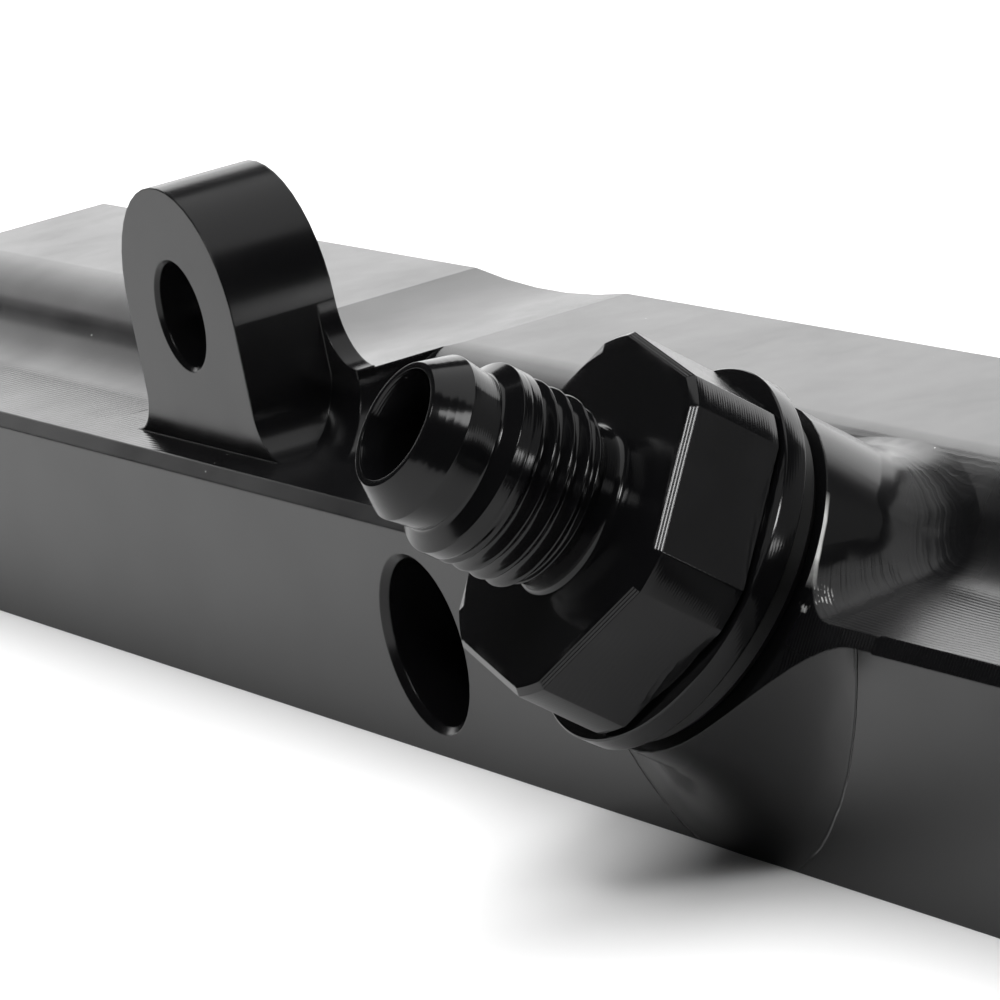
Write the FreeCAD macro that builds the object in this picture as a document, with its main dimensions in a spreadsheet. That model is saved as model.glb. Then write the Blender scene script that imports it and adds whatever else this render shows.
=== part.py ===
import FreeCAD, Part
import math
import os
import Sketcher
from FreeCAD import Placement, Rotation, Vector

doc = FreeCAD.newDocument("fuel_rail")

# Driving sizes in millimetres and degrees.
# The bar lies along X on its flat side, with its injector side towards -Y.
sizes = {
    # the bar and its raised back
    "bar_length": 377.0,
    "bar_depth": 36.4,
    "bar_height": 25.4,
    "ledge_height": 19.4,
    "ledge_depth": 9.5,
    "ramp_run": 11.7,
    "front_chamfer": 1.0,
    "edge_chamfer": 0.5,
    # the drillings along and across the bar
    "gallery_dia": 12.0,
    "gallery_back": 20.0,
    "gallery_height": 9.6,
    "injector_pitch": 97.0,
    "injector_height": 9.2,
    "socket_dia": 13.6,
    "socket_depth": 11.0,
    "socket_lead": 0.55,
    "feed_dia": 8.0,
    # the mounting ears
    "ear_spread": 187.2,
    "ear_width": 22.0,
    "ear_front": 4.0,
    "ear_thickness": 9.3,
    "ear_hole_height": 30.7,
    "ear_hole_dia": 9.0,
    "ear_hole_chamfer": 0.35,
    "ear_flare": 4.0,
    "shoulder_flare": 5.2,
    "shoulder_lip": 1.7,
    "shoulder_run": 5.6,
    "relief_width": 28.4,
    "relief_sag": 0.9,
    "relief_shift": 3.2,
    # the inlet boss and its port
    "boss_dia": 26.8,
    "boss_tilt": 38.85,
    "boss_back": 1.47,
    "boss_height": 20.33,
    "front_blend": 11.6,
    "ledge_blend": 5.2,
    "port_dia": 22.22,
    "port_depth": 13.5,
    "port_chamfer": 0.25,
    "inlet_drill": 9.0,
    # the flare adapter
    "hexagon_flats": 25.4,
    "hexagon_corner_dia": 27.7,
    "hexagon_thickness": 7.42,
    "hexagon_turn": 11.7,
    "hexagon_chamfer": 0.9,
    "groove_length": 0.31,
    "groove_dia": 25.0,
    "flange_dia": 28.4,
    "flange_thickness": 1.82,
    "flare_thread_dia": 14.29,
    "flare_neck_dia": 12.2,
    "flare_neck_length": 1.6,
    "flare_thread_end": 8.57,
    "flare_waist_start": 9.83,
    "flare_waist_dia": 11.9,
    "flare_seat_length": 12.91,
    "flare_seat_dia": 12.4,
    "flare_length": 15.22,
    "flare_tip_dia": 9.3,
    "inlet_bore": 7.6,
    "lip_chamfer": 0.35,
    "stud_length": 13.0,
    "stud_gap": 0.11,
    "stud_neck_dia": 20.4,
    "stud_neck_length": 2.9,
    # the ring under the adapter
    "inlet_ring_section": 2.39,
    "inlet_ring_dia": 23.4,
    "ring_gap": 0.02,
    # the gallery end ports, plugs and rings
    "end_port_dia": 14.29,
    "end_port_depth": 15.0,
    "end_recess_dia": 16.2,
    "end_recess_depth": 1.94,
    "plug_head_dia": 17.4,
    "plug_head_thickness": 4.6,
    "plug_head_chamfer": 0.6,
    "plug_stud_length": 11.5,
    "plug_gap": 0.1,
    "plug_neck_dia": 11.6,
    "plug_socket_flats": 6.35,
    "plug_socket_depth": 5.0,
    "end_ring_section": 1.9,
    "end_ring_dia": 13.7,
}

sheet = doc.addObject("Spreadsheet::Sheet", "sizes")
for row, (alias, number) in enumerate(sizes.items(), start=1):
    sheet.set("A%d" % row, alias)
    sheet.set("B%d" % row, str(number))
    sheet.setAlias("B%d" % row, alias)
doc.recompute()


def terms(text):
    # The signed shares in a sum such as 'bar_depth - 0.5*boss_dia'.
    sign = 1.0
    for word in text.split():
        if word in ("+", "-"):
            sign = 1.0 if word == "+" else -1.0
            continue
        *factors, alias = word.split("*")
        yield sign * math.prod(map(float, factors)), alias
        sign = 1.0


def amount(text):
    # The present value of a sum of sizes.
    return sum(share * float(sheet.get(alias)) for share, alias in terms(text))


def formula(text):
    # The same sum as an expression on the sheet's cells.
    return " + ".join("(%r) * sizes.%s" % (share, alias) for share, alias in terms(text))


def bind(thing, **links):
    # Ties properties to sums of sizes; a double underscore stands for a dot.
    for name, text in links.items():
        thing.setExpression(name.replace("__", "."), formula(text))


def place(thing, x=None, y=None, z=None, turn=None):
    # Sets the turn, then ties each stated coordinate to its sum of sizes.
    thing.Placement = Placement(Vector(), turn or Rotation())
    for letter, text in (("x", x), ("y", y), ("z", z)):
        if text:
            thing.setExpression("Placement.Base." + letter, formula(text))


def make(kind, name, **links):
    thing = doc.addObject(kind, name)
    bind(thing, **links)
    return thing


def cylinder(name, dia, length, **spot):
    thing = make("Part::Cylinder", name, Radius="0.5*" + dia, Height=length)
    place(thing, **spot)
    return thing


def fuse(name, shapes):
    thing = doc.addObject("Part::MultiFuse", name)
    thing.Shapes = shapes
    return thing


def cut(name, base, tool):
    thing = doc.addObject("Part::Cut", name)
    thing.Base = base
    thing.Tool = tool
    return thing


def origin_plane(body, role):
    return [item for item in body.Origin.OriginFeatures if item.Role == role][0]


def new_sketch(body, role, name, offset=None):
    drawing = body.newObject("Sketcher::SketchObject", name)
    drawing.AttachmentSupport = [(origin_plane(body, role), "")]
    drawing.MapMode = "FlatFace"
    if offset:
        drawing.setExpression("AttachmentOffset.Base.z", formula(offset))
    return drawing


def hold(drawing, kind, item, end, text):
    # Holds one end of an edge at a distance from the sketch's origin.
    if text:
        index = drawing.addConstraint(Sketcher.Constraint(kind, -1, 1, item, end, amount(text)))
        drawing.setExpression("Constraints[%d]" % index, formula(text))
    else:
        axis = -2 if kind == "DistanceX" else -1
        drawing.addConstraint(Sketcher.Constraint("PointOnObject", item, end, axis))


def end_at(drawing, item, spot):
    # which end of an edge lies nearest to a spot: 1 its start, 2 its end
    return min((1, 2), key=lambda end: (drawing.getPoint(item, end) - spot).Length)


def outline(drawing, points, arcs=None):
    # A closed outline through points given as sums of sizes. An edge is straight,
    # or the short arc whose centre has the stated first coordinate.
    arcs = arcs or {}
    spots = [Vector(amount(x), amount(y), 0) for x, y in points]
    first = drawing.GeometryCount
    count = len(spots)
    for index, start in enumerate(spots):
        end = spots[(index + 1) % count]
        if index not in arcs:
            drawing.addGeometry(Part.LineSegment(start, end))
            continue
        across = amount(arcs[index])
        up = (start.y ** 2 - end.y ** 2 + (start.x - across) ** 2 - (end.x - across) ** 2) / (2 * (start.y - end.y))
        centre = Vector(across, up, 0)
        bend = ((start + end) * 0.5 - centre).normalize() * (start - centre).Length
        drawing.addGeometry(Part.ArcOfCircle(start, centre + bend, end))
    for index, (x, y) in enumerate(points):
        here = first + index
        before = first + (index - 1) % count
        near = end_at(drawing, here, spots[index])
        drawing.addConstraint(Sketcher.Constraint(
            "Coincident", before, end_at(drawing, before, spots[index]), here, near))
        hold(drawing, "DistanceX", here, near, x)
        hold(drawing, "DistanceY", here, near, y)
        if index in arcs:
            hold(drawing, "DistanceX", here, 3, arcs[index])


def hexagon(drawing, flats):
    # A hexagon about the origin with two flats square to the sketch's Y axis.
    reach = amount(flats) / math.sqrt(3)
    first = drawing.GeometryCount
    spots = [Vector(reach * math.cos(math.radians(60 * k)), reach * math.sin(math.radians(60 * k)), 0)
             for k in range(6)]
    for index in range(6):
        drawing.addGeometry(Part.LineSegment(spots[index], spots[(index + 1) % 6]))
    guide = drawing.addGeometry(Part.Circle(Vector(), Vector(0, 0, 1), reach), True)
    drawing.addConstraint(Sketcher.Constraint("Coincident", guide, 3, -1, 1))
    for index in range(6):
        after = first + (index + 1) % 6
        drawing.addConstraint(Sketcher.Constraint("Coincident", first + index, 2, after, 1))
        drawing.addConstraint(Sketcher.Constraint("PointOnObject", first + index, 1, guide))
        if index:
            drawing.addConstraint(Sketcher.Constraint("Equal", first, first + index))
    drawing.addConstraint(Sketcher.Constraint("Horizontal", first + 1))
    index = drawing.addConstraint(Sketcher.Constraint("Radius", guide, reach))
    drawing.setExpression("Constraints[%d]" % index, "sizes.%s / sqrt(3)" % flats)


def ring_of_edges(shape, wanted):
    # The numbers of the edges for which the test holds.
    return [number for number, edge in enumerate(shape.Edges, start=1) if wanted(edge)]


def round_edges(name, base, wanted, radius):
    # A fillet of one radius along the edges for which the test holds.
    doc.recompute()
    thing = doc.addObject("Part::Fillet", name)
    thing.Base = base
    size = amount(radius)
    thing.Edges = [(number, size, size) for number in ring_of_edges(base.Shape, wanted)]
    return thing


def bevel_edges(name, base, wanted, width):
    # A chamfer of one width along the edges for which the test holds.
    doc.recompute()
    thing = doc.addObject("Part::Chamfer", name)
    thing.Base = base
    size = amount(width)
    thing.Edges = [(number, size, size) for number in ring_of_edges(base.Shape, wanted)]
    return thing


half = 0.5 * amount("bar_depth")
ledge = amount("ledge_height")
top = amount("bar_height")
ramp_end = "- 0.5*bar_depth + ledge_depth + ramp_run"


def ramped_body(name, front, foot, length, bevel):
    # The section along X: a flat ledge in front, an S-shaped ramp of two equal
    # tangent arcs, and the raised back over the gallery.
    thing = doc.addObject("PartDesign::Body", name)
    section = new_sketch(thing, "YZ_Plane", name + "_section")
    points = [
        (front, foot),
        ("0.5*bar_depth", foot),
        ("0.5*bar_depth", "bar_height"),
        (ramp_end, "bar_height"),
        ("- 0.5*bar_depth + ledge_depth + 0.5*ramp_run", "0.5*bar_height + 0.5*ledge_height"),
        ("- 0.5*bar_depth + ledge_depth", "ledge_height"),
    ]
    if bevel:
        points += [(front + " + " + bevel, "ledge_height"), (front, "ledge_height - " + bevel)]
    else:
        points.append((front, "ledge_height"))
    outline(section, points, {3: ramp_end, 4: "- 0.5*bar_depth + ledge_depth"})
    pad = thing.newObject("PartDesign::Pad", name + "_pad")
    pad.Profile = section
    pad.Midplane = True
    bind(pad, Length=length)
    doc.recompute()
    return thing, pad


bar, bar_pad = ramped_body("bar", "- 0.5*bar_depth", "", "bar_length", "front_chamfer")
bar_ends = ring_of_edges(bar_pad.Shape, lambda edge: edge.BoundBox.XLength < 1e-6)
bar_bevel = bar.newObject("PartDesign::Chamfer", "bar_bevel")
bar_bevel.Base = (bar_pad, ["Edge%d" % number for number in bar_ends])
bind(bar_bevel, Size="edge_chamfer")
doc.recompute()

# The inlet axis runs out of the bar's front, upwards, square to the bar in plan.
tilt = math.radians(amount("boss_tilt"))
inlet_way = Vector(0, -math.cos(tilt), math.sin(tilt))
inlet_turn = Rotation(Vector(1, 0, 0), 90 - amount("boss_tilt"))
boss_face = Vector(0, amount("boss_back") - half, amount("boss_height"))


def inlet_cylinder(name, dia, start, length):
    # A cylinder on the inlet axis, from a distance outside the boss face.
    thing = make("Part::Cylinder", name, Radius="0.5*" + dia)
    thing.Height = length
    thing.Placement = Placement(boss_face + inlet_way * start, inlet_turn)
    return thing


def block(name, length, width, height, **spot):
    thing = make("Part::Box", name, Length=length, Width=width, Height=height)
    place(thing, **spot)
    return thing


# The inlet boss: the same round boss is blended once into the front face and
# once into the ledge and its ramp, and the two meet in the crease the mill leaves.
front_stock = block("front_stock", "4*boss_dia", "2*bar_depth", "4*bar_height",
                    x="- 2*boss_dia", y="- 0.5*bar_depth", z="- 2*bar_height")
ledge_stock, _ = ramped_body("ledge_stock", "- 6*bar_depth", "- 2*bar_height", "6*boss_dia", "")
blends = []
for stock, kind in ((front_stock, "front"), (ledge_stock, "ledge")):
    boss = inlet_cylinder("boss_to_" + kind, "boss_dia", -0.75 * amount("boss_dia"), 4 * amount("boss_dia"))
    joined = fuse("boss_on_" + kind, [stock, boss])

    def around_boss(edge, kind=kind):
        box = edge.BoundBox
        if max(-box.XMin, box.XMax) > 1.1 * amount("boss_dia") or box.XLength < 1e-3:
            return False
        if kind == "front":
            return abs(box.YMin + half) < 1e-4 and abs(box.YMax + half) < 1e-4
        return box.ZMin > ledge - 0.01 and box.ZMax < top + 0.01

    blends.append(round_edges("blend_to_" + kind, joined, around_boss, kind + "_blend"))
boss_room = block("boss_room", "boss_dia + 2*front_blend", "2*bar_depth", "bar_height + 2*ledge_height",
                  x="- 0.5*boss_dia - front_blend", y="- 1.5*bar_depth")
boss_common = doc.addObject("Part::MultiCommon", "boss_common")
boss_common.Shapes = blends + [boss_room]
boss_facing = inlet_cylinder("boss_facing", "4*boss_dia", 0, 4 * amount("boss_dia"))
boss_faced = cut("boss_faced", boss_common, boss_facing)

# The ears stand on the ledge, their front faces a little behind the bar's. Their
# sides flare into the ledge. Behind them the raised back comes forward as a
# shoulder, into which the sides flare again.
along_y = Rotation(Vector(1, 0, 0), -90)
along_x = Rotation(Vector(0, 1, 0), 90)
sides = (("left", "- ", -1), ("right", "", 1))
shoulder_front = "ear_front + ear_thickness - shoulder_lip"
to_ramp_end = "ledge_depth + ramp_run"


def prism_along_y(name, start, length, points, arcs):
    # an outline seen from the front, carried backwards from a distance behind the bar's front
    thing = doc.addObject("PartDesign::Body", name)
    opposite = " ".join({"+": "-", "-": "+"}.get(word, word) for word in ("+ " + start).split())
    drawing = new_sketch(thing, "XZ_Plane", name + "_outline", offset="0.5*bar_depth " + opposite)
    outline(drawing, points, arcs)
    pad = thing.newObject("PartDesign::Pad", name + "_pad")
    pad.Profile = drawing
    pad.Reversed = True
    bind(pad, Length=length)
    return thing


def flare(name, start, length, level, radius):
    # the ear's two flares into a level, over a length of its thickness
    right, left = "0.5*ear_width + " + radius, "- 0.5*ear_width - " + radius
    high = level + " + " + radius
    return prism_along_y(name, start, length, [
        (left, "0.5*ledge_height"),
        (right, "0.5*ledge_height"),
        (right, level),
        ("0.5*ear_width", high),
        ("- 0.5*ear_width", high),
        (left, level),
    ], {2: right, 4: left})


ears = []
for side, sign, way in sides:
    ear_x = sign + "0.5*ear_spread"
    into_ledge = flare("ear_foot_" + side, "ear_front", "ear_thickness", "ledge_height", "ear_flare")
    into_shoulder = flare("ear_neck_" + side, shoulder_front, "shoulder_lip", "bar_height", "shoulder_flare")
    # the shoulder: a hollow slope in front and one on either side, creased at the corners
    reach, back = "0.5*ear_width + shoulder_flare", "- 0.5*ear_width - shoulder_flare"
    wide = prism_along_y("shoulder_sides_" + side, shoulder_front + " - shoulder_run",
                         to_ramp_end + " - ear_front - ear_thickness + shoulder_lip + shoulder_run", [
                             (back + " - shoulder_run", "0.5*ledge_height"),
                             (reach + " + shoulder_run", "0.5*ledge_height"),
                             (reach + " + shoulder_run", "ledge_height"),
                             (reach, "bar_height"),
                             (back, "bar_height"),
                             (back + " - shoulder_run", "ledge_height"),
                         ], {2: reach + " + shoulder_run", 4: back + " - shoulder_run"})
    deep = doc.addObject("PartDesign::Body", "shoulder_slope_" + side)
    slope = new_sketch(deep, "YZ_Plane", "slope_outline_" + side)
    crest = "- 0.5*bar_depth + " + shoulder_front
    outline(slope, [
        (crest + " - shoulder_run", "0.5*ledge_height"),
        ("- 0.5*bar_depth + " + to_ramp_end, "0.5*ledge_height"),
        ("- 0.5*bar_depth + " + to_ramp_end, "bar_height"),
        (crest, "bar_height"),
        (crest + " - shoulder_run", "ledge_height"),
    ], {3: crest + " - shoulder_run"})
    slope_pad = deep.newObject("PartDesign::Pad", "slope_pad_" + side)
    slope_pad.Profile = slope
    slope_pad.Midplane = True
    bind(slope_pad, Length="2*ear_width + 2*shoulder_flare + 2*shoulder_run")
    for thing in (into_ledge, into_shoulder, wide, deep):
        place(thing, x=ear_x)
    shoulder = doc.addObject("Part::MultiCommon", "shoulder_" + side)
    shoulder.Shapes = [wide, deep]
    upright = block("ear_upright_" + side, "ear_width", "ear_thickness", "ear_hole_height - 0.5*ledge_height",
                    x=ear_x + " - 0.5*ear_width", y="- 0.5*bar_depth + ear_front", z="0.5*ledge_height")
    crown = cylinder("ear_crown_" + side, "ear_width", "ear_thickness", x=ear_x,
                     y="- 0.5*bar_depth + ear_front", z="ear_hole_height", turn=along_y)
    ears += [upright, crown, into_ledge, into_shoulder, shoulder]
footed = fuse("blank", [bar, boss_faced] + ears)

# What is cut from the billet.
tools = []
for side, sign, way in sides:
    ear_x = sign + "0.5*ear_spread"
    tools.append(cylinder("ear_hole_" + side, "ear_hole_dia", "ear_thickness", x=ear_x,
                          y="- 0.5*bar_depth + ear_front", z="ear_hole_height", turn=along_y))
    for end, face, small in (("front", "", "Radius2"), ("back", " + ear_thickness - ear_hole_chamfer", "Radius1")):
        wide = "Radius1" if small == "Radius2" else "Radius2"
        lead = make("Part::Cone", "ear_lead_%s_%s" % (end, side), Height="ear_hole_chamfer",
                    **{small: "0.5*ear_hole_dia", wide: "0.5*ear_hole_dia + ear_hole_chamfer"})
        place(lead, x=ear_x, y="- 0.5*bar_depth + ear_front" + face, z="ear_hole_height", turn=along_y)
        tools.append(lead)
    # the shallow relief that gives a driver room behind the ear
    relief = doc.addObject("Part::Cylinder", "relief_" + side)
    relief.setExpression("Radius", "(sizes.relief_width ^ 2 / 4 + sizes.relief_sag ^ 2) / (2 * sizes.relief_sag)")
    bind(relief, Height="bar_depth")
    place(relief, x=ear_x + (" + " if way < 0 else " - ") + "relief_shift",
          y="- 0.5*bar_depth + ear_front + ear_thickness", turn=along_y)
    relief.setExpression("Placement.Base.z", "sizes.bar_height - sizes.relief_sag + "
                         "(sizes.relief_width ^ 2 / 4 + sizes.relief_sag ^ 2) / (2 * sizes.relief_sag)")
    tools.append(relief)
for number, share in enumerate((-1.5, -0.5, 0.5, 1.5), start=1):
    spot = dict(x="%r*injector_pitch" % share, y="- 0.5*bar_depth", z="injector_height", turn=along_y)
    tools.append(cylinder("socket_%d" % number, "socket_dia", "socket_depth", **spot))
    lead = make("Part::Cone", "socket_lead_%d" % number, Height="socket_lead",
                Radius1="0.5*socket_dia + socket_lead", Radius2="0.5*socket_dia")
    place(lead, **spot)
    tools.append(lead)
    tools.append(cylinder("feed_%d" % number, "feed_dia", "gallery_back", **spot))
tools.append(cylinder("gallery", "gallery_dia", "bar_length", x="- 0.5*bar_length",
                      y="- 0.5*bar_depth + gallery_back", z="gallery_height", turn=along_x))
for side, sign, way in sides:
    for kind, dia, depth in (("port", "end_port_dia", "end_port_depth"),
                             ("recess", "end_recess_dia", "end_recess_depth")):
        start = "- 0.5*bar_length" if way < 0 else "0.5*bar_length - " + depth
        tools.append(cylinder("end_%s_%s" % (kind, side), dia, depth, x=start,
                              y="- 0.5*bar_depth + gallery_back", z="gallery_height", turn=along_x))
gallery_point = Vector(0, amount("gallery_back") - half, amount("gallery_height"))
drill_length = (boss_face - gallery_point).dot(inlet_way)
tools.append(inlet_cylinder("inlet_port", "port_dia", -amount("port_depth"), amount("port_depth") + 1))
tools.append(inlet_cylinder("inlet_drilling", "inlet_drill", -drill_length, drill_length))
port_lead = make("Part::Cone", "port_lead", Height="port_chamfer", Radius1="0.5*port_dia",
                 Radius2="0.5*port_dia + port_chamfer")
port_lead.Placement = Placement(boss_face - inlet_way * amount("port_chamfer"), inlet_turn)
tools.append(port_lead)
drilled = cut("drilled", footed, fuse("drillings", tools))

# The flare adapter, turned about its own axis. Its Z is 0 on the flange's seat
# and it is set on the inlet axis with the ring's thickness under the flange.
adapter = doc.addObject("PartDesign::Body", "adapter")
turned = new_sketch(adapter, "XZ_Plane", "adapter_outline")
nut_front = "flange_thickness + groove_length + hexagon_thickness"
outline(turned, [
    ("0.5*inlet_bore", "- stud_length"),
    ("0.5*port_dia - stud_gap - 2*lip_chamfer", "- stud_length"),
    ("0.5*port_dia - stud_gap", "- stud_length + 2*lip_chamfer"),
    ("0.5*port_dia - stud_gap", "- stud_neck_length"),
    ("0.5*stud_neck_dia", "- stud_neck_length"),
    ("0.5*stud_neck_dia", ""),
    ("0.5*flange_dia", ""),
    ("0.5*flange_dia", "flange_thickness"),
    ("0.5*groove_dia", "flange_thickness"),
    ("0.5*groove_dia", "flange_thickness + groove_length"),
    ("0.5*hexagon_corner_dia", "flange_thickness + groove_length"),
    ("0.5*hexagon_corner_dia", nut_front + " - 0.5*hexagon_chamfer"),
    ("0.5*hexagon_corner_dia - hexagon_chamfer", nut_front),
    ("0.5*flare_neck_dia", nut_front),
    ("0.5*flare_neck_dia", nut_front + " + flare_neck_length"),
    ("0.5*flare_thread_dia", nut_front + " + 2*flare_neck_length"),
    ("0.5*flare_thread_dia", nut_front + " + flare_thread_end"),
    ("0.5*flare_waist_dia", nut_front + " + flare_waist_start"),
    ("0.5*flare_seat_dia", nut_front + " + flare_seat_length"),
    ("0.5*flare_tip_dia", nut_front + " + flare_length"),
    ("0.5*inlet_bore + lip_chamfer", nut_front + " + flare_length"),
    ("0.5*inlet_bore", nut_front + " + flare_length - lip_chamfer"),
])
turning = adapter.newObject("PartDesign::Revolution", "adapter_turned")
turning.Profile = turned
turning.ReferenceAxis = (turned, ["V_Axis"])
turning.Angle = 360
flats = new_sketch(adapter, "XY_Plane", "hexagon_flats", offset="flange_thickness")
hexagon(flats, "hexagon_flats")
rim = flats.addGeometry(Part.Circle(Vector(), Vector(0, 0, 1), amount("flange_dia")))
flats.addConstraint(Sketcher.Constraint("Coincident", rim, 3, -1, 1))
index = flats.addConstraint(Sketcher.Constraint("Radius", rim, amount("flange_dia")))
flats.setExpression("Constraints[%d]" % index, formula("flange_dia"))
milling = adapter.newObject("PartDesign::Pocket", "hexagon_milled")
milling.Profile = flats
milling.Reversed = True
bind(milling, Length="groove_length + hexagon_thickness")
doc.recompute()
print("hexagon takes", turning.Shape.Volume - adapter.Shape.Volume)

# A gallery plug: a round head with a hexagon socket, a neck for the ring and a stud.
plug = doc.addObject("PartDesign::Body", "plug")
plug_turned = new_sketch(plug, "XZ_Plane", "plug_outline")
outline(plug_turned, [
    ("", "- plug_stud_length"),
    ("0.5*end_port_dia - plug_gap - plug_head_chamfer", "- plug_stud_length"),
    ("0.5*end_port_dia - plug_gap", "- plug_stud_length + plug_head_chamfer"),
    ("0.5*end_port_dia - plug_gap", "- end_recess_depth"),
    ("0.5*plug_neck_dia", "- end_recess_depth"),
    ("0.5*plug_neck_dia", ""),
    ("0.5*plug_head_dia", ""),
    ("0.5*plug_head_dia", "plug_head_thickness - plug_head_chamfer"),
    ("0.5*plug_head_dia - plug_head_chamfer", "plug_head_thickness"),
    ("", "plug_head_thickness"),
])
plug_turning = plug.newObject("PartDesign::Revolution", "plug_turned")
plug_turning.Profile = plug_turned
plug_turning.ReferenceAxis = (plug_turned, ["V_Axis"])
plug_turning.Angle = 360
key = new_sketch(plug, "XY_Plane", "plug_socket", offset="plug_head_thickness")
hexagon(key, "plug_socket_flats")
keyway = plug.newObject("PartDesign::Pocket", "plug_socket_cut")
keyway.Profile = key
bind(keyway, Length="plug_socket_depth")
doc.recompute()
print("plug socket takes", plug_turning.Shape.Volume - plug.Shape.Volume)


def squeezed_ring(name, dia, section):
    # A ring whose round section is pressed flat where it touches, drawn with eight sides.
    thing = doc.addObject("PartDesign::Body", name)
    drawing = new_sketch(thing, "XZ_Plane", name + "_section")
    centre, full, flat = "0.5*" + dia, "0.5*" + section, "0.2*" + section
    outline(drawing, [
        (centre + " - " + flat, "- " + full),
        (centre + " + " + flat, "- " + full),
        (centre + " + " + full, "- " + flat),
        (centre + " + " + full, flat),
        (centre + " + " + flat, full),
        (centre + " - " + flat, full),
        (centre + " - " + full, flat),
        (centre + " - " + full, "- " + flat),
    ])
    spun = thing.newObject("PartDesign::Revolution", name + "_spun")
    spun.Profile = drawing
    spun.ReferenceAxis = (drawing, ["V_Axis"])
    spun.Angle = 360
    return thing


def finish(thing, label, position, turn=None):
    # Names a finished piece and sets it where it sits on the rail.
    thing.Label = label
    if position is not None:
        thing.Placement = Placement(position, turn or Rotation())
    return thing


pieces = [finish(drilled, "rail_body", None)]
seat = boss_face + inlet_way * (amount("inlet_ring_section") + 2 * amount("ring_gap"))
hexagon_spin = Rotation(Vector(0, 0, 1), -amount("hexagon_turn"))
pieces.append(finish(adapter, "inlet_fitting", seat, inlet_turn * hexagon_spin))
inlet_ring = squeezed_ring("inlet_ring", "inlet_ring_dia", "inlet_ring_section")
middle_of_ring = boss_face + inlet_way * (0.5 * amount("inlet_ring_section") + amount("ring_gap"))
pieces.append(finish(inlet_ring, "inlet_o_ring", middle_of_ring, inlet_turn))
for side, sign, way in sides:
    outwards = Rotation(Vector(0, 1, 0), 90 * way)
    end_face = gallery_point + Vector(0.5 * way * amount("bar_length"), 0, 0)
    if way < 0:
        end_plug = finish(plug, "end_plug_" + side, end_face, outwards)
    else:
        end_plug = doc.addObject("Part::Feature", "end_plug_copy")
        end_plug.Shape = plug.Shape.copy()
        finish(end_plug, "end_plug_" + side, end_face, outwards)
    pieces.append(end_plug)
    ring = squeezed_ring("end_ring_" + side, "end_ring_dia", "end_ring_section")
    pieces.append(finish(ring, "end_o_ring_" + side, end_face - Vector(
        0.5 * way * amount("end_recess_depth"), 0, 0), outwards))
doc.recompute()

faults = [item.Name for item in doc.Objects if "Invalid" in item.State or "Error" in item.State]
if faults:
    raise SystemExit("failed: " + ", ".join(faults))
for piece in pieces:
    if piece.Shape.isNull() or not piece.Shape.isValid():
        raise SystemExit("not valid: " + piece.Label)
os.makedirs("parts", exist_ok=True)
for piece in pieces:
    piece.Shape.exportStep("parts/%s.step" % piece.Label)
    print(piece.Label, round(piece.Shape.Volume, 1), len(piece.Shape.Solids), len(piece.Shape.Faces))
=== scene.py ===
import math
import bpy
import numpy as np
from mathutils import Matrix, Vector


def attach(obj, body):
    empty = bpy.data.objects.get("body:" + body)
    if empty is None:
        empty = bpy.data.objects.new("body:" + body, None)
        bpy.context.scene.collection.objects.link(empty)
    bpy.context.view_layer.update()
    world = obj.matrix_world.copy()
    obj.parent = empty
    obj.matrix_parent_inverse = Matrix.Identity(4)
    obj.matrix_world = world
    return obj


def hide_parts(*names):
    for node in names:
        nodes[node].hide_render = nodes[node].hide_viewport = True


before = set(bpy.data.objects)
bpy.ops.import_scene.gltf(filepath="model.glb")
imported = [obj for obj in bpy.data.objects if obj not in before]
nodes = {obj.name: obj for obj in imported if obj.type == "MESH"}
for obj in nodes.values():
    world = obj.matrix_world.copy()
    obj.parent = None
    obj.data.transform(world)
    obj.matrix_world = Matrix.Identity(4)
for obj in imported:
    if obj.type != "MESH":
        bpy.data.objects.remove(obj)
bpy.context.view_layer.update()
mm = 0.001

# the inlet that the adapter and several finishes follow: where its axis leaves the boss, how far
# it is tilted up, the squeezed ring's thickness and the boss's radius; lengths in mm, here and below
inlet = dict(face=(0.0, -16.73, 20.33), tilt=38.85, ringThickness=2.43, bossRadius=13.4)
inletFace = np.array(inlet["face"])
inletTilt = math.radians(inlet["tilt"])
inletWay = np.array([0.0, -math.cos(inletTilt), math.sin(inletTilt)])
inletUp = np.array([0.0, math.sin(inletTilt), math.cos(inletTilt)])


def toLinear(hexColour):
    # an sRGB hex colour as the linear values that a shader takes
    values = [int(hexColour[i:i + 2], 16) / 255 for i in (0, 2, 4)]
    return tuple(v / 12.92 if v <= 0.04045 else ((v + 0.055) / 1.055) ** 2.4 for v in values) + (1.0,)


def addNode(tree, kind, links=(), **settings):
    # one node with its settings; links gives its inputs, by name or in order, a value, another
    # node's output, or another node, which stands for its first output
    node = tree.nodes.new("ShaderNode" + kind)
    for name, value in settings.items():
        setattr(node, name, value)
    for name, value in links.items() if isinstance(links, dict) else enumerate(links):
        if isinstance(value, bpy.types.Node):
            value = value.outputs[0]
        if isinstance(value, bpy.types.NodeSocket):
            tree.links.new(value, node.inputs[name])
        else:
            node.inputs[name].default_value = value
    return node


def newMaterial(name):
    material = bpy.data.materials.new(name)
    material.use_nodes = True
    tree = material.node_tree
    tree.nodes.clear()
    shader = addNode(tree, "BsdfPrincipled")
    output = addNode(tree, "OutputMaterial", {"Surface": shader})
    return material, tree, shader, output


def meshObject(name, points, faces):
    mesh = bpy.data.meshes.new(name)
    mesh.from_pydata((points * mm).tolist(), [], faces.tolist())
    mesh.polygons.foreach_set("use_smooth", np.full(len(faces), True))
    mesh.update()
    piece = bpy.data.objects.new(name, mesh)
    bpy.context.scene.collection.objects.link(piece)
    return piece


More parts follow.
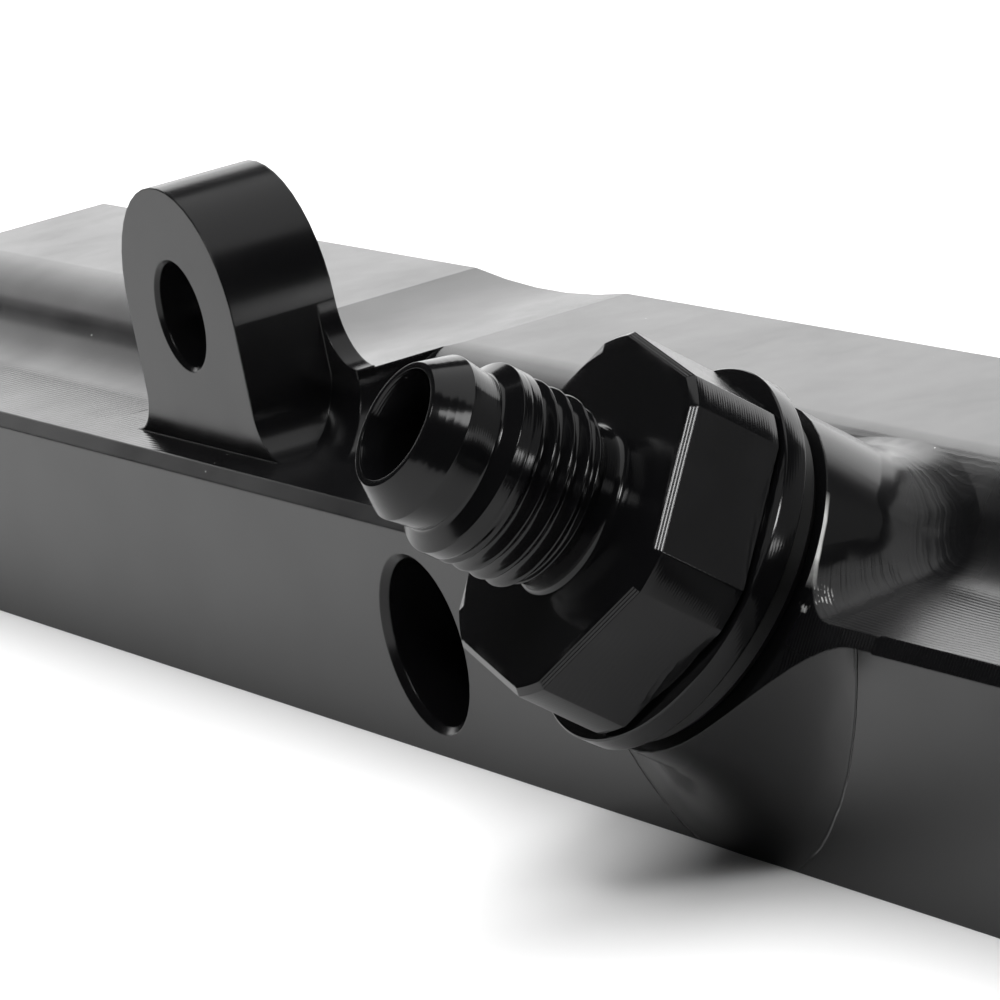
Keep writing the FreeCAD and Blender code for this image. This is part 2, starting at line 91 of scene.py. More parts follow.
def alongAxis(tree, place, axis, base=(0.0, 0.0, 0.0)):
    # how far a place lies along an axis from a base, in mm
    away = addNode(tree, "VectorMath", [place, tuple(v * mm for v in base)], operation="SUBTRACT")
    reach = addNode(tree, "VectorMath", [away, tuple(axis)], operation="DOT_PRODUCT").outputs["Value"]
    return addNode(tree, "Math", [reach, mm], operation="DIVIDE")


def inletPlace(tree, place, shift=(0.0, 0.0, 0.0)):
    # the inlet's own coordinates: mm along its axis, mm out from it, and the share of a turn round it
    base = inletFace + np.array(shift)
    along = alongAxis(tree, place, inletWay, base)
    across = alongAxis(tree, place, (1, 0, 0), base)
    upwards = alongAxis(tree, place, inletUp, base)
    squares = [addNode(tree, "Math", [side, side], operation="MULTIPLY") for side in (across, upwards)]
    out = addNode(tree, "Math", [addNode(tree, "Math", squares, operation="ADD")], operation="SQRT")
    bearing = addNode(tree, "Math", [across, upwards], operation="ARCTAN2")
    turn = addNode(tree, "Math", [bearing, 2 * math.pi], operation="DIVIDE")
    return along, out, turn


def within(tree, *limits):
    # 1 where every limit holds and 0 where one doesn't, with a straight fade between; a limit is a
    # value, where it stops holding and where it holds fully
    share = None
    for value, stops, holds in limits:
        fade = addNode(tree, "MapRange", {"Value": value, "From Min": stops, "From Max": holds}, clamp=True)
        share = fade if share is None else addNode(tree, "Math", [share, fade], operation="MULTIPLY")
    return share


def relief(tree, *layers, under=None):
    # bumps laid on one another; a layer is a height from 0 to 1 and the mm that it stands for
    for height, depth in layers:
        links = {"Height": height, "Strength": 1.0, "Distance": depth * mm}
        if under is not None:
            links["Normal"] = under
        under = addNode(tree, "Bump", links)
    return under


def scallops(tree, value):
    # the cusps that a round cutter leaves: a row of hollows, each one step wide
    part = addNode(tree, "Math", [value], operation="FRACT")
    saw = addNode(tree, "Math", [part, 0.5], operation="SUBTRACT")
    square = addNode(tree, "Math", [saw, saw], operation="MULTIPLY")
    return addNode(tree, "Math", [square, 4.0], operation="MULTIPLY")


speckEdge = (0.05, 0.025)  # from a speck's middle, as shares of its cell


def specks(tree, place, size, share):
    # sparse round specks: cells about size mm wide, of which the share holds one
    cells = addNode(tree, "TexVoronoi", {"Vector": place, "Scale": 1 / (size * mm)})
    draw = addNode(tree, "SeparateColor", {"Color": cells.outputs["Color"]}).outputs["Red"]
    kept = addNode(tree, "Math", [draw, share], operation="LESS_THAN")
    inside = within(tree, (cells.outputs["Distance"], *speckEdge))
    return addNode(tree, "Math", [inside, kept], operation="MULTIPLY")


# the rail: noises are (width, detail), limits are (stops, holds) as in within
railLook = dict(
    film="0b0b0c", paleDustAndHighlight="d2d2d0", ior=1.45, roughness=0.2, smoother=0.03, rougher=0.05,
    smear=(1000 / 90, 4.0), smearBlend=0.6, smearRange=(0.3, 0.7),
    edge=0.22, edgeSamples=6, wave=(9.0, 1.0), waveDepth=0.004,
    # passes along the ledge
    lineStep=0.36, wander=(1000 / 60, 1.0), lineWander=1.2, lineDepth=0.01,
    ledgeFacing=(0.98, 0.995), ledgeHeight=(22.0, 20.0),
    # ridges across the front bevel, right of the boss
    ridgeStep=0.4, ridgeSlant=0.35, ridgeDepth=0.05, bevelForwards=(-0.6, -0.68), bevelUpwards=(0.6, 0.68),
    bevelOut=(14.5, 15.0), bevelDeep=(-16.0, -16.8), bevelAcross=(9.0, 16.0),
    # strokes round the boss
    strokeStep=0.34, shake=(1000 / 420, 3.0), strokeShake=1.0, strokeDepth=0.012,
    fanInner=(13.6, 14.4), fanOuter=(22.0, 17.0), fanSlope=(0.995, 0.95), fanHeight=(17.0, 18.2),
    uneven=(1000 / 220, 2.0), unevenEdge=(0.3, 0.6), streakStep=0.8, streakDetail=2.0, streakDepth=0.06,
    blendRougher=0.13,
    # the step on the front face
    frontBlend=11.6, seamOff=0.12, seamShake=0.25, seamEdge=(0.16, 0.02), seamFacing=(-0.9, -0.97),
    seamDepth=0.05,
    # the torn edge beside the ring, with glints painted over it
    tornPlace=(14.3, -16.0, 19.6), tornEdge=(1.7, 0.68), tornDepth=0.08, grain=(1000 / 1300, 4.0),
    glintGrain=(0.5, 0.58), hatchStep=1.5, glintHatch=(0.25, 0.6),
    # the highlight painted on the boss's rim
    rimAlong=(0.32, 0.2), rimTurn=0.195, rimReach=(0.045, 0.02), rimOut=(13.3, 13.36), rimPatches=(0.2, 0.5),
    dustSize=1.7, dustShare=0.05)


def anodisedBillet():
    # Black anodised aluminium, milled from billet: the dyed oxide film is a clear layer over black,
    # so it looks nearly black face on and mirrors the room at a glancing angle. Passes of the face
    # mill run along the ledge, and strokes of a ball mill curve round the inlet boss.
    # A highlight is painted along the boss's rim, and glints are painted over the torn edge.
    a = railLook
    material, tree, shader, _ = newMaterial("blackAnodisedBillet")
    place = addNode(tree, "TexCoord").outputs["Object"]
    edge = addNode(tree, "Bevel", {"Radius": a["edge"] * mm}, samples=a["edgeSamples"])
    facing = addNode(tree, "SeparateXYZ", {"Vector": addNode(tree, "NewGeometry").outputs["Normal"]}).outputs
    across, deep, height = (alongAxis(tree, place, axis) for axis in ((1, 0, 0), (0, 1, 0), (0, 0, 1)))
    along, out, turn = inletPlace(tree, place)
    wave, wander, shake, uneven, grain = (
        addNode(tree, "TexNoise", {"Vector": place, "Scale": 1 / (width * mm),
                                   "Detail": detail}).outputs["Fac"]
        for width, detail in (a["wave"], a["wander"], a["shake"], a["uneven"], a["grain"]))
    # passes along the ledge, each a little off its place
    strayed = addNode(tree, "Math", [wander, a["lineWander"], deep], operation="MULTIPLY_ADD")
    passes = addNode(tree, "Math", [strayed, a["lineStep"]], operation="DIVIDE")
    onLedge = within(tree, (facing["Z"], *a["ledgeFacing"]), (height, *a["ledgeHeight"]))
    ledgeLines = addNode(tree, "Math", [scallops(tree, passes), onLedge], operation="MULTIPLY")
    # short ridges across the front bevel, where the cutter stepped along it
    slanted = alongAxis(tree, place, (1, a["ridgeSlant"], 0))
    stepped = addNode(tree, "Math", [slanted, a["ridgeStep"]], operation="DIVIDE")
    onBevel = within(tree, (facing["Y"], *a["bevelForwards"]), (facing["Z"], *a["bevelUpwards"]),
                     (out, *a["bevelOut"]), (deep, *a["bevelDeep"]), (across, *a["bevelAcross"]))
    ridges = addNode(tree, "Math", [scallops(tree, stepped), onBevel], operation="MULTIPLY")
    # strokes that curve round the boss over its blend and the ramp, one step apart along its axis,
    # and streaks that follow them
    strokes = addNode(tree, "Math", [along, a["strokeStep"]], operation="DIVIDE")
    fan = addNode(tree, "Math", [shake, a["strokeShake"], strokes], operation="MULTIPLY_ADD")
    onBlend = within(tree, (out, *a["fanInner"]), (out, *a["fanOuter"]),
                     (facing["Z"], *a["fanSlope"]), (height, *a["fanHeight"]))
    fanned = addNode(tree, "Math", [scallops(tree, fan), onBlend], operation="MULTIPLY")
    fanned = addNode(tree, "Math", [fanned, within(tree, (uneven, *a["unevenEdge"]))], operation="MULTIPLY")
    streakPlace = addNode(tree, "Math", [fan, a["streakStep"]], operation="MULTIPLY")
    streak = addNode(tree, "TexNoise", {"W": streakPlace, "Scale": 1.0, "Detail": a["streakDetail"]},
                     noise_dimensions="1D")
    streaked = addNode(tree, "Math", [streak.outputs["Fac"], onBlend], operation="MULTIPLY")
    # the step that the mill left where the boss's front blend runs out into the front face
    blendOut = inletPlace(tree, place, (0.0, a["frontBlend"], 0.0))[1]
    shaken = addNode(tree, "Math", [shake, a["seamShake"], blendOut], operation="MULTIPLY_ADD")
    seamRadius = a["frontBlend"] + inlet["bossRadius"] + a["seamOff"]
    offSeam = addNode(tree, "Math", [shaken, seamRadius], operation="SUBTRACT")
    offSeam = addNode(tree, "Math", [offSeam], operation="ABSOLUTE")
    seam = within(tree, (offSeam, *a["seamEdge"]), (facing["Y"], *a["seamFacing"]))
    # the torn edge between the two blends: a small rough patch, hatched with painted glints
    tornPlace = tuple(v * mm for v in a["tornPlace"])
    fromTorn = addNode(tree, "VectorMath", [place, tornPlace], operation="DISTANCE")
    tornHere = within(tree, (fromTorn.outputs["Value"], *(v * mm for v in a["tornEdge"])))
    tornHeight = addNode(tree, "Math", [grain, tornHere], operation="MULTIPLY")
    hatch = scallops(tree, addNode(tree, "Math", [fan, a["hatchStep"]], operation="MULTIPLY"))
    tornGlints = within(tree, (grain, *a["glintGrain"]), (hatch, *a["glintHatch"]))
    tornGlints = addNode(tree, "Math", [tornGlints, tornHere], operation="MULTIPLY")
    normal = relief(tree, (wave, a["waveDepth"]), (ledgeLines, a["lineDepth"]), (ridges, a["ridgeDepth"]),
                    (fanned, a["strokeDepth"]), (streaked, a["streakDepth"]), (seam, -a["seamDepth"]),
                    (tornHeight, a["tornDepth"]), under=edge)
    tree.links.new(normal.outputs["Normal"], shader.inputs["Normal"])
    # smeared roughness, duller on the blend than elsewhere
    smear = addNode(tree, "TexNoise", {"Vector": place, "Scale": 1 / (a["smear"][0] * mm),
                                       "Detail": a["smear"][1], "Roughness": a["smearBlend"]}).outputs["Fac"]
    rough = addNode(tree, "MapRange", {
        "Value": smear, "From Min": a["smearRange"][0], "From Max": a["smearRange"][1],
        "To Min": a["roughness"] - a["smoother"], "To Max": a["roughness"] + a["rougher"]})
    offTorn = addNode(tree, "Math", [1.0, tornHere], operation="SUBTRACT")
    duller = addNode(tree, "Math", [onBlend, offTorn], operation="MULTIPLY")
    total = addNode(tree, "Math", [duller, a["blendRougher"], rough], operation="MULTIPLY_ADD")
    tree.links.new(total.outputs[0], shader.inputs["Roughness"])
    # pale colour: a highlight painted on a short stretch of the boss's sharp rim, glints painted in the torn
    # edge, and dust of the same pale colour
    offRim = addNode(tree, "Math", [along], operation="ABSOLUTE")
    offGlint = addNode(tree, "Math", [turn, a["rimTurn"]], operation="SUBTRACT")
    offGlint = addNode(tree, "Math", [offGlint], operation="ABSOLUTE")
    paintedRimHighlight = within(tree, (offRim, *a["rimAlong"]), (offGlint, *a["rimReach"]), (out, *a["rimOut"]),
                   (shake, *a["rimPatches"]))
    dust = specks(tree, place, a["dustSize"], a["dustShare"])
    dustAndHighlightShare = addNode(tree, "Math", [dust, paintedRimHighlight], operation="MAXIMUM")
    dustAndHighlightShare = addNode(tree, "Math", [dustAndHighlightShare, tornGlints], operation="MAXIMUM")
    # the film, or pale where there is dust, the painted rim highlight or the painted glints
    colour = addNode(tree, "Mix", {0: dustAndHighlightShare, 6: toLinear(a["film"]), 7: toLinear(a["paleDustAndHighlight"])}, data_type="RGBA")
    tree.links.new(colour.outputs[2], shader.inputs["Base Color"])
    shader.inputs["IOR"].default_value = a["ior"]
    return material


# the adapter and the plugs
fittingLook = dict(
    film="09090a", dust="70706e", dustSize=1.1, dustShare=0.06, ior=1.45,
    # turned faces
    roughness=0.13, ringStep=0.21, ringDepth=0.004, ringShare=0.5, coneShare=0.83,
    shake=(1000 / 700, 2.0), feedShake=0.04, coarseStep=3.1, coarseDetail=3.0,
    # the hexagon's milled flats and its scored chamfer
    milledRoughness=0.16, rubbedFilm="121213", chatterStep=0.42, chatterDepth=0.009, chatterTurns=25.0,
    bend=(1000 / 170, 3.0), chatterBend=4.0, patches=(1000 / 330, 2.0), patchEdge=(0.38, 0.62),
    chamferFacing=(0.2, 0.4), scoreStep=0.16, scoreDepth=0.009,
    rippleRub=0.4, bendRub=0.6, rubEdge=(0.4, 0.6))


def fittingBase(name, roughness):
    # what the turned and the milled faces share
    material, tree, shader, _ = newMaterial(name)
    place = addNode(tree, "TexCoord").outputs["Object"]
    shader.inputs["Roughness"].default_value = roughness
    shader.inputs["IOR"].default_value = fittingLook["ior"]
    return material, tree, shader, place


def anodisedTurned():
    # Black anodised aluminium, turned from bar: the tool's feed leaves fine rings round the axis,
    # which draw a highlight out into thin bright threads.
    a = fittingLook
    material, tree, shader, place = fittingBase("blackAnodisedTurned", a["roughness"])
    along, out, _ = inletPlace(tree, place)
    shake = addNode(tree, "TexNoise", {"Vector": place, "Scale": 1 / (a["shake"][0] * mm),
                                       "Detail": a["shake"][1]})
    feed = addNode(tree, "Math", [out, a["coneShare"], along], operation="MULTIPLY_ADD")
    feed = addNode(tree, "Math", [shake.outputs["Fac"], a["feedShake"], feed], operation="MULTIPLY_ADD")
    rings = scallops(tree, addNode(tree, "Math", [feed, a["ringStep"]], operation="DIVIDE"))
    coarsePlace = addNode(tree, "Math", [feed, a["coarseStep"]], operation="MULTIPLY")
    coarse = addNode(tree, "TexNoise", {"W": coarsePlace, "Scale": 1.0, "Detail": a["coarseDetail"]},
                     noise_dimensions="1D")
    height = addNode(tree, "Math", [rings, a["ringShare"], coarse.outputs["Fac"]], operation="MULTIPLY_ADD")
    tree.links.new(relief(tree, (height, a["ringDepth"])).outputs["Normal"], shader.inputs["Normal"])
    dust = specks(tree, place, a["dustSize"], a["dustShare"])
    colour = addNode(tree, "Mix", {0: dust, 6: toLinear(a["film"]), 7: toLinear(a["dust"])}, data_type="RGBA")
    tree.links.new(colour.outputs[2], shader.inputs["Base Color"])
    return material


def anodisedMilled():
    # Black anodised aluminium, milled flats: the cutter's chatter leaves shallow curved ripples,
    # rubbed a little paler.
    a = fittingLook
    material, tree, shader, place = fittingBase("blackAnodisedMilled", a["milledRoughness"])
    along, _, turn = inletPlace(tree, place)
    bend, patches = (
        addNode(tree, "TexNoise", {"Vector": place, "Scale": 1 / (width * mm),
                                   "Detail": detail}).outputs["Fac"]
        for width, detail in (a["bend"], a["patches"]))
    line = addNode(tree, "Math", [along, a["chatterStep"]], operation="DIVIDE")
    line = addNode(tree, "Math", [bend, a["chatterBend"], line], operation="MULTIPLY_ADD")
    line = addNode(tree, "Math", [turn, a["chatterTurns"], line], operation="MULTIPLY_ADD")
    ripples = addNode(tree, "Math", [scallops(tree, line), within(tree, (patches, *a["patchEdge"]))],
                      operation="MULTIPLY")
    # straight score lines along the hexagon's front chamfer, and no ripples there
    flat = addNode(tree, "NewGeometry").outputs["True Normal"]
    forwards = addNode(tree, "VectorMath", [flat, tuple(inletWay)], operation="DOT_PRODUCT").outputs["Value"]
    onChamfer = within(tree, (forwards, *a["chamferFacing"]))
    scored = scallops(tree, addNode(tree, "Math", [along, a["scoreStep"]], operation="DIVIDE"))
    scored = addNode(tree, "Math", [scored, onChamfer], operation="MULTIPLY")
    offChamfer = addNode(tree, "Math", [1.0, onChamfer], operation="SUBTRACT")
    ripples = addNode(tree, "Math", [ripples, offChamfer], operation="MULTIPLY")
    normal = relief(tree, (scored, a["scoreDepth"]), (ripples, a["chatterDepth"]))
    tree.links.new(normal.outputs["Normal"], shader.inputs["Normal"])
    rubbed = addNode(tree, "Math", [within(tree, (bend, *a["rubEdge"])), a["bendRub"]], operation="MULTIPLY")
    rubbed = addNode(tree, "Math", [ripples, a["rippleRub"], rubbed], operation="MULTIPLY_ADD")
    colour = addNode(tree, "Mix", {0: rubbed, 6: toLinear(a["film"]), 7: toLinear(a["rubbedFilm"])},
                     data_type="RGBA")
    tree.links.new(colour.outputs[2], shader.inputs["Base Color"])
    return material


rubberLook = dict(dark="0b0b0b", light="101010", bloom=(2.5, 3.0), bloomDepth=0.01,
                  smoothest=0.38, roughest=0.52, ior=1.52)


def nitrileRubber():
    # Nitrile rubber, moulded: matt black with a soft wide highlight, clouded by its bloom.
    a = rubberLook
    material, tree, shader, _ = newMaterial("nitrileRubber")
    place = addNode(tree, "TexCoord").outputs["Object"]
    bloom = addNode(tree, "TexNoise", {"Vector": place, "Scale": 1 / (a["bloom"][0] * mm),
                                       "Detail": a["bloom"][1]}).outputs["Fac"]
    colour = addNode(tree, "Mix", {0: bloom, 6: toLinear(a["dark"]), 7: toLinear(a["light"])},
                     data_type="RGBA")
    rough = addNode(tree, "MapRange", {"Value": bloom, "To Min": a["smoothest"], "To Max": a["roughest"]})
    tree.links.new(colour.outputs[2], shader.inputs["Base Color"])
    tree.links.new(rough.outputs["Result"], shader.inputs["Roughness"])
    tree.links.new(relief(tree, (bloom, a["bloomDepth"])).outputs["Normal"], shader.inputs["Normal"])
    shader.inputs["IOR"].default_value = a["ior"]
    return material


billet = anodisedBillet()
turned = anodisedTurned()
milled = anodisedMilled()
rubber = nitrileRubber()
for nodeName, look in (("rail_body", billet), ("inlet_o_ring", rubber), ("end_plug_left", turned),
                       ("end_plug_right", turned), ("end_o_ring_left", rubber), ("end_o_ring_right", rubber)):
    mesh = nodes[nodeName].data
    if not mesh.materials:
        mesh.materials.append(look)
    for slot in range(len(mesh.materials)):
        mesh.materials[slot] = look
print("materials ready")

# the flare adapter; heights are from the hexagon's front face, apart from the stud, the flange and
# the groove, which start at the ring
adapter = dict(
    bore=3.8, lip=0.4, lipDepth=1.8, tipRadius=4.65, length=15.22, seatRadius=6.2, seatLength=12.91,
    waistRadius=5.9, waistRise=0.1, waistLength=0.9, landEnd=9.4,
    threadStart=10.3, threadRadius=7.145, pitch=1.411, threadDepth=0.866, crestHalf=0.05, rootRounding=0.45,
    crestRounding=0.12, runIn=0.9, runOut=0.45, runOutEnd=1.25,
    neckRadius=6.1, neckLength=1.6, faceFillet=0.9,
    flats=25.4, cornerRadius=13.85, hexLength=7.42, hexChamfer=0.45, softEdge=0.03,
    groove=0.31, grooveRadius=12.5, flangeRadius=14.2, flange=1.82, flangeEdge=0.12,
    studRadius=11.0, studLength=13.0, studChamfer=0.7, studNeckRadius=10.2, studNeck=2.9, studStep=0.4,
    turn=11.7, threadGrid=0.065, plainGrid=0.9, gridStart=1.0, gridPast=0.5,
    # the angles of the grid from a flat's middle, close together where the corner turns
    cornerAngles=(9, 12, 15, 18, 20.5, 22, 22.7, 23.05, 23.2, 23.32, 23.42, 23.52, 23.62, 23.74, 23.9,
                  24.3, 25, 26, 28))


def softMin(a, b, width):
    # the smaller of two values, with the corner between them rounded over the width
    share = np.clip(0.5 + 0.5 * (b - a) / width, 0, 1)
    return b * (1 - share) + a * share - width * share * (1 - share)


def roundedProfile(corners, step):
    # corners are (radius, height, rounding); each corner gets a curve tangent to both its edges,
    # and the straight stretches between them are divided no coarser than step. A curve takes up to
    # 0.45 of an edge, and has 4 points where it is short and 7 elsewhere.
    xy = np.array([c[:2] for c in corners], float)
    radii = np.array([c[2] for c in corners], float)
    before, after = np.roll(xy, 1, 0) - xy, np.roll(xy, -1, 0) - xy
    lengthBefore, lengthAfter = np.linalg.norm(before, axis=1), np.linalg.norm(after, axis=1)
    before, after = before / lengthBefore[:, None], after / lengthAfter[:, None]
    half = 0.5 * np.arccos(np.clip((before * after).sum(1), -1, 1))
    setBack = np.minimum(radii / np.tan(half), 0.45 * np.minimum(lengthBefore, lengthAfter))
    rows = []
    for i in range(len(xy)):
        start, end = xy[i] + before[i] * setBack[i], xy[i] + after[i] * setBack[i]
        t = np.linspace(0, 1, 4 if setBack[i] < 0.2 else 7)[:, None]
        rows.append((1 - t) ** 2 * start + 2 * t * (1 - t) * xy[i] + t ** 2 * end)
        j = (i + 1) % len(xy)
        nextStart = xy[j] + before[j] * setBack[j]
        gap = np.linalg.norm(nextStart - end)
        count = int(np.ceil(gap / step(0.5 * (end + nextStart))))
        if count > 1:
            s = np.linspace(0, 1, count + 1)[1:-1, None]
            rows.append(end + s * (nextStart - end))
    return np.concatenate(rows)


def adapterSurface(a):
    # r(angle, height): the turned profile; in the hexagon's span the smaller of the turned corner
    # and the flat's distance divided by the cosine of the angle from its middle; in the thread's
    # span the crest radius less a 60 degree vee whose place moves one pitch in each turn
    hexStart = a["flange"] + a["groove"]
    face = hexStart + a["hexLength"]
    land = face + a["landEnd"]
    tip = face + a["length"]
    waist = face + a["threadStart"]
    corner, chamferSize = a["cornerRadius"], a["hexChamfer"]
    stud, flange = a["studRadius"], a["flangeRadius"]
    corners = [
        (a["bore"], -a["studLength"], 0.1), (stud - a["studChamfer"], -a["studLength"], 0.1),
        (stud, -a["studLength"] + a["studChamfer"], 0.1), (stud, -a["studNeck"], 0.1),
        (a["studNeckRadius"], -a["studNeck"] + a["studStep"], 0.1), (a["studNeckRadius"], 0, 0.2),
        (flange, 0, 0.15), (flange, a["flange"] - a["flangeEdge"], 0.05),
        (flange - a["flangeEdge"], a["flange"], 0.05), (a["grooveRadius"], a["flange"], 0.02),
        (a["grooveRadius"], hexStart, 0.02), (corner, hexStart, 0.05),
        (corner, face - chamferSize, 0.04), (corner - chamferSize, face, 0.04),
        (a["neckRadius"], face, a["faceFillet"]), (a["neckRadius"], face + a["neckLength"], 0.2),
        (a["threadRadius"], face + 2 * a["neckLength"], 0.1), (a["threadRadius"], land, 0.08),
        (a["waistRadius"], waist, 0.35), (a["waistRadius"] + a["waistRise"], waist + a["waistLength"], 0.6),
        (a["seatRadius"], face + a["seatLength"], 0.12), (a["tipRadius"], tip, 0.08),
        (a["bore"] + a["lip"], tip, 0.04), (a["bore"], tip - a["lipDepth"], 0.1)]

    def step(point):
        inThread = face + a["gridStart"] < point[1] < land + a["gridPast"] and point[0] > a["waistRadius"]
        return a["threadGrid"] if inThread else a["plainGrid"]

    profile = roundedProfile(corners, step)
    radius, height = profile[:, 0], profile[:, 1]
    near = list(a["cornerAngles"])
    sector = np.radians(np.array([-30] + [-v for v in reversed(near)] + [-6, -3, 0, 3, 6] + near))
    angle = np.concatenate([sector + math.radians(60) * k for k in range(6)]) + math.radians(a["turn"])
    r = np.repeat(radius[:, None], len(angle), 1)
    z = np.repeat(height[:, None], len(angle), 1)
    fromFlat = np.tile(sector, 6)[None, :]
    flatRadius = 0.5 * a["flats"] / np.cos(fromFlat)
    chamfer = np.clip(z - (face - chamferSize), 0, None)
    inHex = (height > hexStart - 1e-6) & (height < face + 1e-6) & (radius > a["grooveRadius"] + 0.05)
    hexed = softMin(r, flatRadius - chamfer / np.cos(fromFlat), a["softEdge"])
    r = np.where(inHex[:, None], hexed, r)
    onFlat = inHex[:, None] & (flatRadius - chamfer < corner - 1e-3) & (np.abs(z - face) > 1e-4)
    onFlat = onFlat & (r > a["grooveRadius"] + 0.05)
    # the thread runs in behind the neck and out before the land
    room = np.clip((z - (face + a["neckLength"])) / a["runIn"], 0, 1)
    room = room * np.clip((land - a["runOutEnd"] - z) / a["runOut"], 0, 1)
    along = (z / a["pitch"] + angle[None, :] / (2 * math.pi)) % 1.0
    fromCrest = np.abs(along - 0.5) * a["pitch"]
    vee = np.clip((fromCrest - a["crestHalf"]) * math.sqrt(3), 0, None)
    vee = np.clip(softMin(vee, np.full_like(vee, a["threadDepth"]), a["rootRounding"]), 0, None)
    cutTo = a["threadRadius"] - vee + (1 - room) * a["threadDepth"]
    threaded = (height > face + a["neckLength"]) & (height < waist) & (radius > a["waistRadius"])
    r = np.where(threaded[:, None], softMin(r, cutTo, a["crestRounding"]), r)
    return r, z, angle, onFlat


def ringMesh(r, z, angle, base):
    # carries the rows round the inlet axis; the last row joins the first, so the surface is closed
    side = np.array([1.0, 0.0, 0.0])
    x = r * np.sin(angle)[None, :]
    y = r * np.cos(angle)[None, :]
    points = base + x[..., None] * side + y[..., None] * inletUp + z[..., None] * inletWay
    rows, columns = r.shape
    i, j = np.meshgrid(np.arange(rows), np.arange(columns), indexing="ij")
    nextRow, nextColumn = (i + 1) % rows, (j + 1) % columns
    faces = np.stack([i * columns + j, nextRow * columns + j,
                      nextRow * columns + nextColumn, i * columns + nextColumn], -1)
    return points.reshape(-1, 3), faces.reshape(-1, 4)


r, z, angle, onFlat = adapterSurface(adapter)
points, faces = ringMesh(r, z, angle, inletFace + inletWay * inlet["ringThickness"])
fitting = meshObject("inletAdapter", points, faces)
fitting.data.materials.append(turned)
fitting.data.materials.append(milled)
fitting.data.polygons.foreach_set("material_index", onFlat.astype(np.int32).ravel())
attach(fitting, "root")
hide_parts("inlet_fitting")
print("adapter", len(points), "points")

# the studio, in metres and watts: a white table in a dark room, a large key lamp above, and lamps
# behind, beside and above the rail that it mirrors
studio = dict(
    tableHalf=4.0, tableDrop=0.02, tableColour="f4f4f4", tableRoughness=0.9, mirroredTable="bebebe",
    backdrop=1.0, roomLevel=0.02,
    key=dict(place=(-0.3, 0.4, 2.0), aim=(0.0, 0.0, 0.0), size=(3.2, 3.2), power=101.0),
    wall=dict(place=(-1.31, 0.918, 0.455), aim=(0.0, 0.0, 0.455), size=(3.2, 0.85), power=13.8),
    card=dict(place=(0.62, 1.25, 0.3), aim=(0.0, 0.0, 0.3), size=(1.9, 0.6), power=0.9),
    window=dict(place=(1.33, 0.80, 0.05), aim=(0.0, 0.0, 0.03), size=(0.38, 0.22), power=1.5),
    overhead=dict(place=(-0.1, 0.85, 1.65), aim=(0.0, 0.0, 0.0), size=(2.4, 1.5), power=9.5),
    spark=dict(place=(0.47, -0.5, 1.34), aim=(0.0, 0.0, 0.03), size=(0.28, 0.28), power=4.4),
    glint=dict(place=(0.78, -0.08, 1.04), aim=(0.0, 0.0, 0.03), size=(0.3, 0.3), power=1.6))


def softbox(name, about, mirrored=True):
    # a rectangular lamp; one that isn't mirrored gives light and stays out of the metal
    lamp = bpy.data.lights.new(name, "AREA")
    lamp.shape = "RECTANGLE"
    lamp.size, lamp.size_y = about["size"]
    lamp.energy = about["power"]
    item = bpy.data.objects.new(name, lamp)
    centre, aim = Vector(about["place"]), Vector(about["aim"])
    item.location = centre
    item.rotation_euler = (aim - centre).to_track_quat("-Z", "Y").to_euler()
    item.visible_glossy = mirrored
    bpy.context.scene.collection.objects.link(item)


half = studio["tableHalf"]
tableMesh = bpy.data.meshes.new("table")
tableCorners = [(-half, -half, 0), (half, -half, 0), (half, half, 0), (-half, half, 0)]
tableMesh.from_pydata(tableCorners, [], [(0, 1, 2, 3)])
table = bpy.data.objects.new("table", tableMesh)
bpy.context.scene.collection.objects.link(table)
table.location.z = -studio["tableDrop"] * mm
paper, tree, shader, output = newMaterial("whitePaper")
shader.inputs["Base Color"].default_value = toLinear(studio["tableColour"])
shader.inputs["Roughness"].default_value = studio["tableRoughness"]
tableMesh.materials.append(paper)
# glossy rays meet a greyer table than the camera's do, so its reflections in the rail are darker
greyer = addNode(tree, "BsdfDiffuse", {"Color": toLinear(studio["mirroredTable"])})
whichRay = addNode(tree, "LightPath").outputs["Is Glossy Ray"]
chosen = addNode(tree, "MixShader", [whichRay, shader, greyer])
tree.links.new(chosen.outputs[0], output.inputs["Surface"])

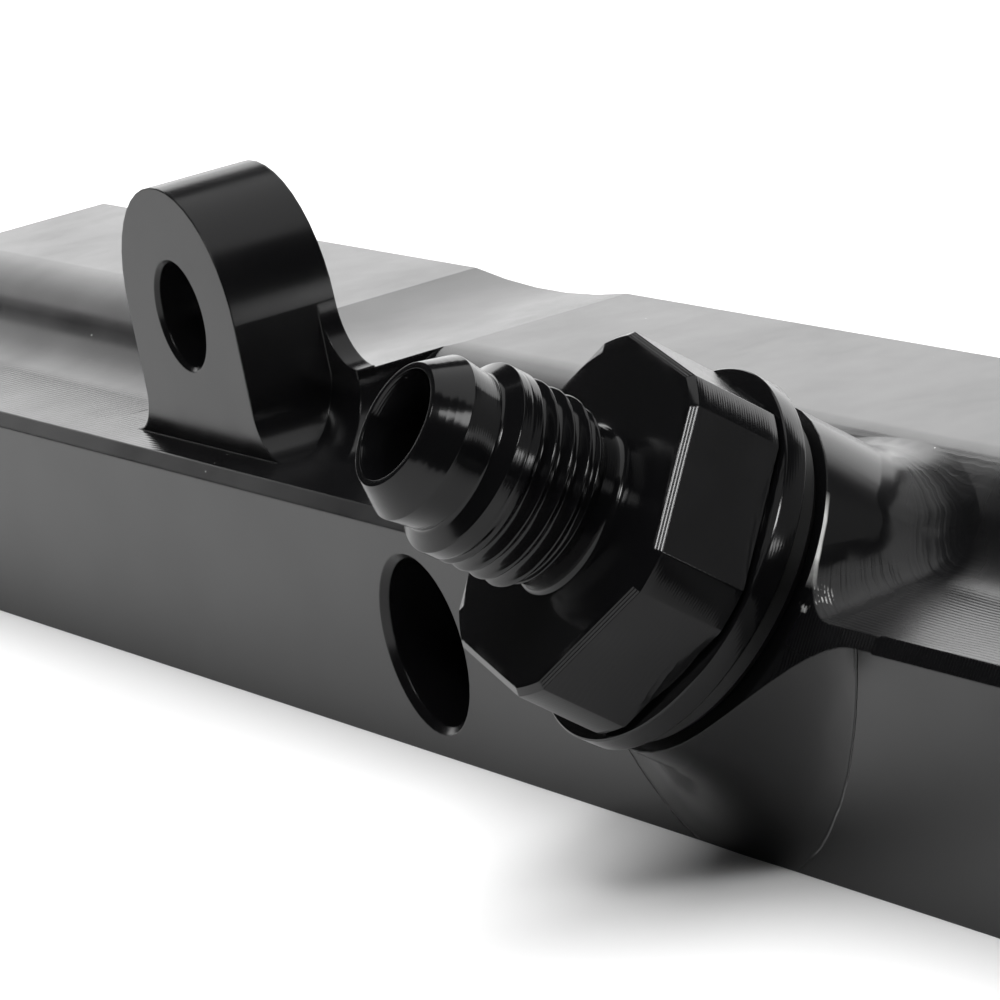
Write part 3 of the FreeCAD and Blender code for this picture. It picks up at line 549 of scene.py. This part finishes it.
# only the camera sees the world white; to all other rays it is a dark room
world = bpy.data.worlds.new("studio")
bpy.context.scene.world = world
world.use_nodes = True
tree = world.node_tree
tree.nodes.clear()
toCamera = addNode(tree, "LightPath").outputs["Is Camera Ray"]
backdrop = addNode(tree, "Background", {"Color": (1, 1, 1, 1), "Strength": studio["backdrop"]})
room = addNode(tree, "Background", {"Color": (1, 1, 1, 1), "Strength": studio["roomLevel"]})
addNode(tree, "OutputWorld", {"Surface": addNode(tree, "MixShader", [toCamera, room, backdrop])})

softbox("keySoftbox", studio["key"], mirrored=False)
softbox("wallSoftbox", studio["wall"])
softbox("dimCard", studio["card"])
softbox("window", studio["window"])
softbox("overhead", studio["overhead"])
softbox("spark", studio["spark"])
softbox("glint", studio["glint"])

# the camera: its place in mm, its focal length in pixels of a frame 1000 wide, its angles in radians,
# the sensor's width in mm and the clip distances in metres
view = dict(place=(398.0, -211.13, 125.79), focal=6458.7, frame=1000, yaw=0.42437, pitch=0.21575,
            roll=-0.20402, sensor=36.0, clip=(0.01, 50.0))
cosYaw, sinYaw = math.cos(view["yaw"]), math.sin(view["yaw"])
cosPitch, sinPitch = math.cos(view["pitch"]), math.sin(view["pitch"])
cosRoll, sinRoll = math.cos(view["roll"]), math.sin(view["roll"])
forward = Vector((-cosYaw * cosPitch, sinYaw * cosPitch, -sinPitch))
right = Vector((sinYaw, cosYaw, 0))
up = right.cross(forward)
rolledRight, rolledUp = right * cosRoll + up * sinRoll, up * cosRoll - right * sinRoll
lens = bpy.data.cameras.new("camera")
lens.sensor_width = view["sensor"]
lens.sensor_fit = "HORIZONTAL"
lens.lens = view["focal"] / view["frame"] * view["sensor"]
lens.clip_start, lens.clip_end = view["clip"]
camera = bpy.data.objects.new("camera", lens)
bpy.context.scene.collection.objects.link(camera)
axes = Matrix((rolledRight, rolledUp, -forward)).transposed().to_4x4()
axes.translation = Vector(view["place"]) * mm
camera.matrix_world = axes
bpy.context.scene.camera = camera
bpy.context.scene.view_settings.view_transform = "Standard"
print("camera and studio ready")
